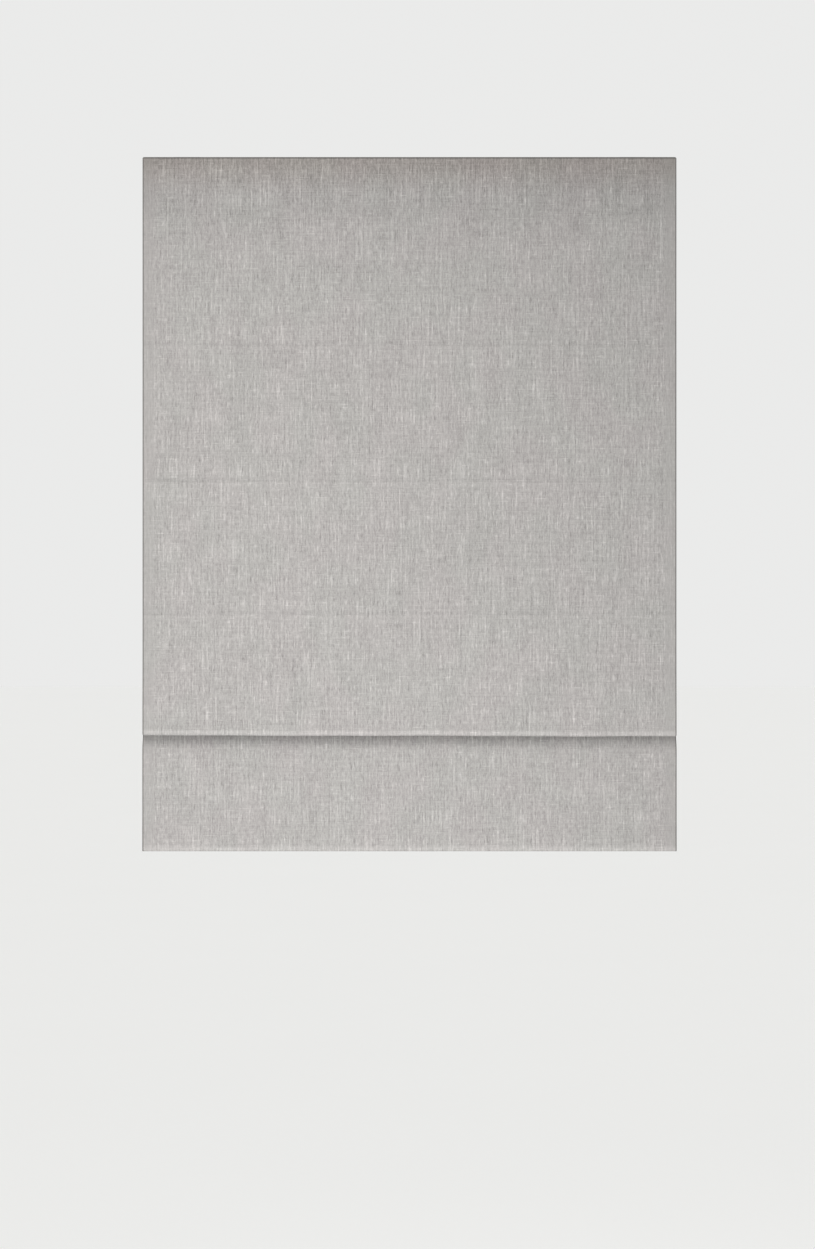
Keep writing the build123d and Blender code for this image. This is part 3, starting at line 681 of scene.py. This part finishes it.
def tape(name, color, pile):
    """Woven tape: rows of loops or hooks across its face."""
    m = Mat(name, Roughness=0.8)
    m.bsdf.inputs["Sheen Weight"].default_value = 0.15 if pile else 0.03
    x, y, z = m.object_co()
    fuzz = m.noise(m.mul(x, 1 / 0.5), m.mul(y, 1 / 0.5), m.mul(z, 1 / 0.5), 3.0)
    rows = m.mul(m.math("SINE", m.mul(x, 2 * math.pi / 1.5)), m.math("SINE", m.mul(z, 2 * math.pi / 1.3)))
    r, g, b = color
    fac = m.math("ADD", m.mul(fuzz, 0.8), m.mul(rows, 0.0 if pile else 0.25), clamp=True)
    m.link(m.mix(fac, srgb(r * 0.8, g * 0.8, b * 0.8), srgb(r, g, b)), m.bsdf.inputs["Base Color"])
    m.bump(m.add(fuzz, m.mul(rows, 0.2 if pile else 0.8)), 0.0003, 0.6)
    return m.m


def braid(name):
    m = Mat(name, Roughness=0.6)
    m.bsdf.inputs["Sheen Weight"].default_value = 0.1
    a, along, c = m.co("cord_co")
    left = m.math("SINE", m.add(m.mul(a, 4.0), m.mul(along, 2 * math.pi / 1.9)))
    right = m.math("SINE", m.math("SUBTRACT", m.mul(a, 4.0), m.mul(along, 2 * math.pi / 1.9)))
    h = m.math("MAXIMUM", left, right)
    fac = m.ramp(h, -0.2, 1.0, 0.25, 1.0)
    m.link(m.mix(fac, srgb(176, 174, 170), srgb(235, 233, 229)), m.bsdf.inputs["Base Color"])
    m.bump(h, 0.00012, 0.7)
    return m.m


LINEN, LINING = linen(), lining_cloth()
GREY_THREAD, PALE_THREAD = thread("grey_thread", (176, 173, 170)), thread("pale_thread", (226, 222, 214))
WHITE = plastic("white_plastic", (222, 221, 217), 0.42)
CLEAR = plastic("clear_plastic", (228, 230, 229), 0.2, 0.5, 0.6)
ACETAL = plastic("spool_plastic", (214, 213, 209), 0.35)
GREY_PLASTIC = plastic("housing_plastic", (165, 167, 169), 0.5)
NYLON = plastic("drum_plastic", (72, 74, 76), 0.5)
GLASSFIBRE = plastic("batten_strip", (226, 225, 219), 0.5)
STEEL = metal("drawn_steel", (188, 188, 190), 0.32)
ZINC = metal("zinc_plate", (172, 175, 180), 0.36, 1)
BLUED = metal("spring_strip", (112, 116, 126), 0.28, 1)
ALU = metal("mill_aluminium", (205, 206, 208), 0.36)
PAINT = powder_coat("white_powder_coat", (221, 221, 218))
HOOKS, PILE = tape("hook_tape", (228, 228, 226), False), tape("loop_tape", (224, 223, 220), True)
BRAID = braid("braided_cord")

by_slot = {
    "hook_tape": HOOKS, "loop_tape": PILE, "batten": GLASSFIBRE, "clear_plastic": CLEAR, "white_plastic": WHITE,
    "weight_bar": ALU, "rail": PAINT, "bracket": ZINC, "shaft": STEEL, "spool": ACETAL, "housing": GREY_PLASTIC,
    "screw": ZINC, "spring": BLUED, "drum": NYLON, "linen_cloth": LINEN, "lining_cloth": LINING, "cord": BRAID,
}
slots = {p["node"]: p["material_slot"] for p in frame["record"]["subparts"]}
for n, o in frame["nodes"].items():
    material = by_slot[slots[n]]
    if not o.material_slots:
        o.data.materials.append(material)
    for k in range(len(o.material_slots)):
        o.material_slots[k].link = "OBJECT"
        o.material_slots[k].material = material

# ------------------------------------------------------------------ face cloth
def rows(a, b, step, fine=()):
    """Arc lengths from a to b, closer together near the places in fine [(at, reach, step)]."""
    out = [a]
    while out[-1] < b - 1e-6:
        h = step
        for at, reach, small in fine:
            gap = abs(out[-1] - at)
            if gap < reach:
                h = min(h, small)
            elif gap < reach + 10:
                h = min(h, small + (step - small) * (gap - reach) / 10)
            if out[-1] < at - reach:
                h = min(h, max(at - reach - out[-1], small))
        out.append(min(b, out[-1] + h))
    if out[-1] - out[-2] < 0.2:
        out.pop(-2)
    return np.array(out)


FINE = [(S_SEAM[0], 8, 0.8), (S_SEAM[1], 8, 0.8), (S_SEAM[2], 8, 0.8), (S_TOP - TURN_B / 2 * math.pi / 2, 2.6, 0.4),
        (S_LOW, 9.0, 0.6), (S_SEAM[3], 3.2, 0.35), (S_END - 42.6 - 4.5, 5.0, 0.6)]
half = W / 2
inner_x = half - TURN_B / 2
cols = np.linspace(-inner_x, inner_x, 119)
cloth = Shells()
all_rows = rows(0.0, S_END, 7.2, FINE)
cloth.slab(cols, 0.0, FACE_T, all_rows)
hem_rows = rows(S_TOP, tail_s(HEM + 38), 7.2, FINE[:3] + FINE[4:6])
for side in (-1, 1):
    a = np.radians(np.linspace(-90, 90, 9))
    ring = [(inner_x + TURN_B / 2 * math.cos(t), TURN_B / 2 + TURN_B / 2 * math.sin(t)) for t in a]
    ring += [(v, TURN_B) for v in np.linspace(inner_x, half - SIDE_HEM, 4)[1:]]
    ring += [(v, TURN_A) for v in np.linspace(half - SIDE_HEM, inner_x, 4)]
    a = np.radians(np.linspace(90, -90, 6)[1:])
    ring += [(inner_x + 0.35 * math.cos(t), TURN_B / 2 + 0.35 * math.sin(t)) for t in a]
    ring = [(side * x, d) for x, d in ring]
    cloth.tube(ring if side > 0 else ring[::-1], hem_rows)

low_rows = rows(hem_rows[-1], S_END, 7.2, FINE[4:])
for side in (-1, 1):
    edge = [(inner_x, 0), (half - 0.4, 0), (half - 0.12, 0.12), (half, 0.4), (half - 0.12, 0.68), (half - 0.4, FACE_T), (inner_x, FACE_T)]
    edge = [(side * x, d) for x, d in edge]
    cloth.tube(edge if side > 0 else edge[::-1], low_rows)

face_cloth = cloth.object("face_cloth", [LINEN])
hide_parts("face_fabric")
hang(face_cloth)

# ------------------------------------------------------------------ lining and its pockets
back = Shells()
S_LIN = S_TOP + 1.05
lin_rows = rows(S_LIN, tail_s(HEM + 36), 8.5, FINE[:3] + FINE[4:6])
back.slab(np.linspace(-half + 1.5, half - 1.5, 91), LIN_A, LIN_B, lin_rows)
px = np.linspace(-POCKET_W / 2, POCKET_W / 2, 125)
for i in range(3):
    z, y = SEAMS[i], FRONT + LIN_B
    outline = np.array([
        (y - 0.15, z), (y + 1.2, z + 0.05), (y + 2.2, z - 0.15), (y + 2.8, z - 0.6), (y + 3.0, z - 1.6), (y + 3.02, z - 5), (y + 3.05, z - 8), (y + 3.02, z - 11),
        (y + 3.0, z - POCKET_H + 1.6), (y + 2.8, z - POCKET_H + 0.6), (y + 2.2, z - POCKET_H + 0.1), (y + 1.2, z - POCKET_H), (y + 0.03, z - POCKET_H + 0.1),
        (y + 0.03, z - POCKET_H + 0.5), (y + 1.6, z - POCKET_H + 0.5), (y + 2.3, z - POCKET_H + 0.8), (y + 2.5, z - POCKET_H + 1.4), (y + 2.5, z - 1.4), (y + 2.3, z - 0.8), (y + 1.6, z - 0.5), (y - 0.15, z - 0.5),
    ])
    n, m = len(outline), len(px)
    pts = np.c_[np.repeat(px, n), np.tile(outline[:, 0], m), np.tile(outline[:, 1], m)]
    depth = np.tile(np.clip((outline[:, 0] - y) / 3, 0, 1), m)
    outer = np.tile((np.arange(n) < 13).astype(float), m)
    # the pocket's free edge is a little uneven between stitches
    pts[:, 2] += depth * outer * (0.14 * np.sin(pts[:, 0] / 9.5 + i) + 0.1 * np.sin(pts[:, 0] / 27 + 2 * i)) * (np.tile(outline[:, 1], m) < z - 8)
    pts[:, 1] += depth * outer * (0.10 + 0.10 * np.sin(pts[:, 0] / 14.0 + 2 * i))
    j, k = np.meshgrid(np.arange(m - 1), np.arange(n), indexing="ij")
    a, b = j * n + k, j * n + (k + 1) % n
    faces = [list(f) for f in np.stack([a, a + n, b + n, b], -1).reshape(-1, 4)]
    faces += [list(range(n)), [(m - 1) * n + v for v in range(n)][::-1]]
    co = np.c_[pts[:, 0], S_SEAM[i] - (pts[:, 2] - z) * 1.0 + 400, pts[:, 1]]
    back.rigid(pts, faces, co, RATIOS[i])
# the lowest pocket stands on the fold
outer = np.array([(-1.75, -0.45), (-1.78, 2), (-1.8, 6), (-1.78, 10), (-1.75, 12.4), (-1.5, 13.2), (-0.8, 13.6), (0, 13.66), (0.8, 13.6), (1.5, 13.2), (1.75, 12.4), (1.78, 10), (1.8, 6), (1.78, 2), (1.75, -0.45),
                  (1.25, -0.45), (1.25, 0.4), (1.25, 12.4), (0.9, 12.9), (-0.9, 12.9), (-1.25, 12.4), (-1.25, 0.4), (-1.25, -0.45)])
n, m = len(outer), len(px)
pts = np.c_[np.repeat(px, n), TUCK_Y + np.tile(outer[:, 0], m), SEAM4 + np.tile(outer[:, 1], m)]
j, k = np.meshgrid(np.arange(m - 1), np.arange(n), indexing="ij")
a, b = j * n + k, j * n + (k + 1) % n
faces = [list(f) for f in np.stack([a, b, b + n, a + n], -1).reshape(-1, 4)] + [list(range(n))[::-1], [(m - 1) * n + v for v in range(n)]]
back.rigid(pts, faces, np.c_[pts[:, 0], S_SEAM[3] + SEAM4 - pts[:, 2] + 400, pts[:, 1]], 1.0)


# ------------------------------------------------------------------ stitches
def stitch(p, q, out, r, sides=6, rings=5):
    """One stitch from p to q that dips into the cloth at both ends; out is the way it stands proud."""
    p, q, out = (np.asarray(v, float) for v in (p, q, out))
    t = np.linspace(0, 1, rings)
    line = p + (q - p) * t[:, None] + out * (np.sin(np.pi * t) * 1.25 - 0.55)[:, None] * r
    d = (q - p) / np.linalg.norm(q - p)
    u = out / np.linalg.norm(out)
    v = np.cross(d, u)
    a = np.linspace(0, 2 * np.pi, sides, endpoint=False)
    size = r * np.array([0.55, 0.95, 1, 0.95, 0.55])[:rings]
    pts = (line[:, None] + size[:, None, None] * (np.cos(a)[None, :, None] * u + np.sin(a)[None, :, None] * v)).reshape(-1, 3)
    faces = [[i * sides + j, i * sides + (j + 1) % sides, (i + 1) * sides + (j + 1) % sides, (i + 1) * sides + j] for i in range(rings - 1) for j in range(sides)]
    faces += [list(range(sides))[::-1], [(rings - 1) * sides + j for j in range(sides)]]
    return pts, faces


def across(shells, x0, x1, y, z, out, weight, r=0.19, pitch=3.1, length=2.3, mat=1):
    x = x0
    while x + length < x1:
        wob = 0.05 * math.sin(x * 1.7)
        pts, faces = stitch((x, y, z + wob), (x + length, y, z - wob), (0, out, 0), r)
        shells.rigid(pts, faces, pts.copy(), weight, mat)
        x += pitch


for i in range(3):
    across(back, -POCKET_W / 2 + 3, POCKET_W / 2 - 3, FRONT + LIN_B + 3.02, SEAMS[i] - 2.0, 1, RATIOS[i])
across(back, -half + 8, half - 8, BACK_Y + HEM_OVER + 0.1, HEM + HEM_TOP - 4, 1, 1.0)
lining = back.object("lining_cloth", [LINING, PALE_THREAD])
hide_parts("lining")
hang(lining)

# the same lines seen from the front: small stitches that nearly sink into the cloth
for i in range(3):
    front = Shells()
    across(front, -half + 6, half - 6, FRONT + 0.53, SEAMS[i], -1, 0, r=0.14, pitch=3.1, length=1.5, mat=0)
    o = front.object(f"seam_stitches_{i + 1}", [GREY_THREAD])
    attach(o, f"rib_{i + 1}")

# ------------------------------------------------------------------ lift cords
def cord_mesh(name, x):
    """Braided cord on the CAD's route: up from the anchor, through the rings, three quarters round the spool."""
    straight = np.linspace(-818.5, -20, 240)
    line = np.c_[np.full(240, CORD_Y), straight]
    turn = arc(-9.8, -20, 10.0, 180, -90, 60)[1:]
    p = np.vstack([line, turn])
    s = run_length(p)
    t = np.gradient(p, axis=0)
    t /= np.linalg.norm(t, axis=1)[:, None]
    sides = 14
    a = np.linspace(0, 2 * np.pi, sides, endpoint=False)
    r = 0.7
    pts, co = [], []
    for (y, z), (ty, tz), along in zip(p, t, s):
        ny, nz = -tz, ty
        for b in a:
            pts.append((x + r * math.sin(b), y + r * math.cos(b) * ny, z + r * math.cos(b) * nz))
            co.append((b, along, 0))
    n, m = sides, len(p)
    faces = [[i * n + j, i * n + (j + 1) % n, (i + 1) * n + (j + 1) % n, (i + 1) * n + j] for i in range(m - 1) for j in range(n)]
    faces += [list(range(n))[::-1], [(m - 1) * n + j for j in range(n)]]
    mesh = bpy.data.meshes.new(name)
    mesh.from_pydata((np.array(pts) / 1000).tolist(), [], faces)
    mesh.polygons.foreach_set("use_smooth", np.ones(len(faces), bool))
    mesh.materials.append(BRAID)
    at = mesh.attributes.new("cord_co", "FLOAT_VECTOR", "POINT")
    at.data.foreach_set("vector", np.array(co, np.float32).ravel())
    o = bpy.data.objects.new(name, mesh)
    bpy.context.scene.collection.objects.link(o)
    z = np.array(pts)[:, 2]
    y = np.array(pts)[:, 1]
    w = np.where((z < -42), np.clip((-42 - z) / (818.5 - 42), 0, 1), 0.0)
    return o, w


for label, x in (("left", -CORD_X), ("right", CORD_X)):
    o, w = cord_mesh(f"braided_cord_{label}", x)
    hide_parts(f"lift_cord_{label}")
    follow_lift(o, w)

# ------------------------------------------------------------------ studio
def stage_material():
    m = Mat("studio", Roughness=0.95)
    m.bsdf.inputs["Specular IOR Level"].default_value = 0.1
    x, y, z = m.object_co()
    n = m.noise(m.mul(x, 1 / 900), m.mul(y, 1 / 900), 0.0, 2.0)
    m.link(m.mix(n, srgb(254, 254, 253), srgb(255, 255, 254)), m.bsdf.inputs["Base Color"])
    return m.m


def pale_floor(floor_z, radius):
    """Pale floor, wide enough that its far edge lies at the horizon."""
    prof = [(0.0, floor_z), (radius * 0.1, floor_z), (radius * 0.4, floor_z), (radius, floor_z)]
    n = 72
    pts, faces = [(0, 0, floor_z)], []
    for r, z in prof[1:]:
        for k in range(n):
            a = 2 * math.pi * k / n
            pts.append((r * math.cos(a), r * math.sin(a), z))
    for k in range(n):
        faces.append([0, 1 + k, 1 + (k + 1) % n])
    for i in range(len(prof) - 2):
        for k in range(n):
            a, b = 1 + i * n + k, 1 + i * n + (k + 1) % n
            faces.append([a, a + n, b + n, b])
    mesh = bpy.data.meshes.new("studio_floor")
    mesh.from_pydata(pts, [], faces)
    mesh.polygons.foreach_set("use_smooth", np.ones(len(faces), bool))
    mesh.materials.append(stage_material())
    o = bpy.data.objects.new("studio_floor", mesh)
    bpy.context.scene.collection.objects.link(o)
    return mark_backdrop(o)


pale_floor(-2.4, 80)


def area(name, place, target, size, power, color=(1, 1, 1), spread=180):
    d = bpy.data.lights.new(name, "AREA")
    d.size = size
    d.spread = math.radians(spread)
    d.energy = power
    d.color = color
    o = bpy.data.objects.new(name, d)
    bpy.context.scene.collection.objects.link(o)
    o.location = place
    o.rotation_euler = (Vector(target) - Vector(place)).to_track_quat("-Z", "Y").to_euler()
    return o


area("key", (-0.72, -1.6, 1.1), (-0.08, 0, -1.15), 0.7, 2.9, (1.0, 0.985, 0.965), spread=52)
area("front", (-0.2, -1.3, -1.65), (0, 0, -1.06), 0.8, 5.6, (0.985, 0.99, 1.0))
area("rear", (1.3, 1.7, 1.2), (0, 0, -0.5), 0.8, 9)

world = bpy.data.worlds.new("studio")
bpy.context.scene.world = world
world.use_nodes = True
bg = world.node_tree.nodes["Background"]
bg.inputs["Color"].default_value = (0.826, 0.828, 0.822, 1)
bg.inputs["Strength"].default_value = 1.0
bpy.context.scene.view_settings.view_transform = "Standard"
bpy.context.scene.view_settings.look = "None"
bpy.context.scene.view_settings.exposure = 0.0
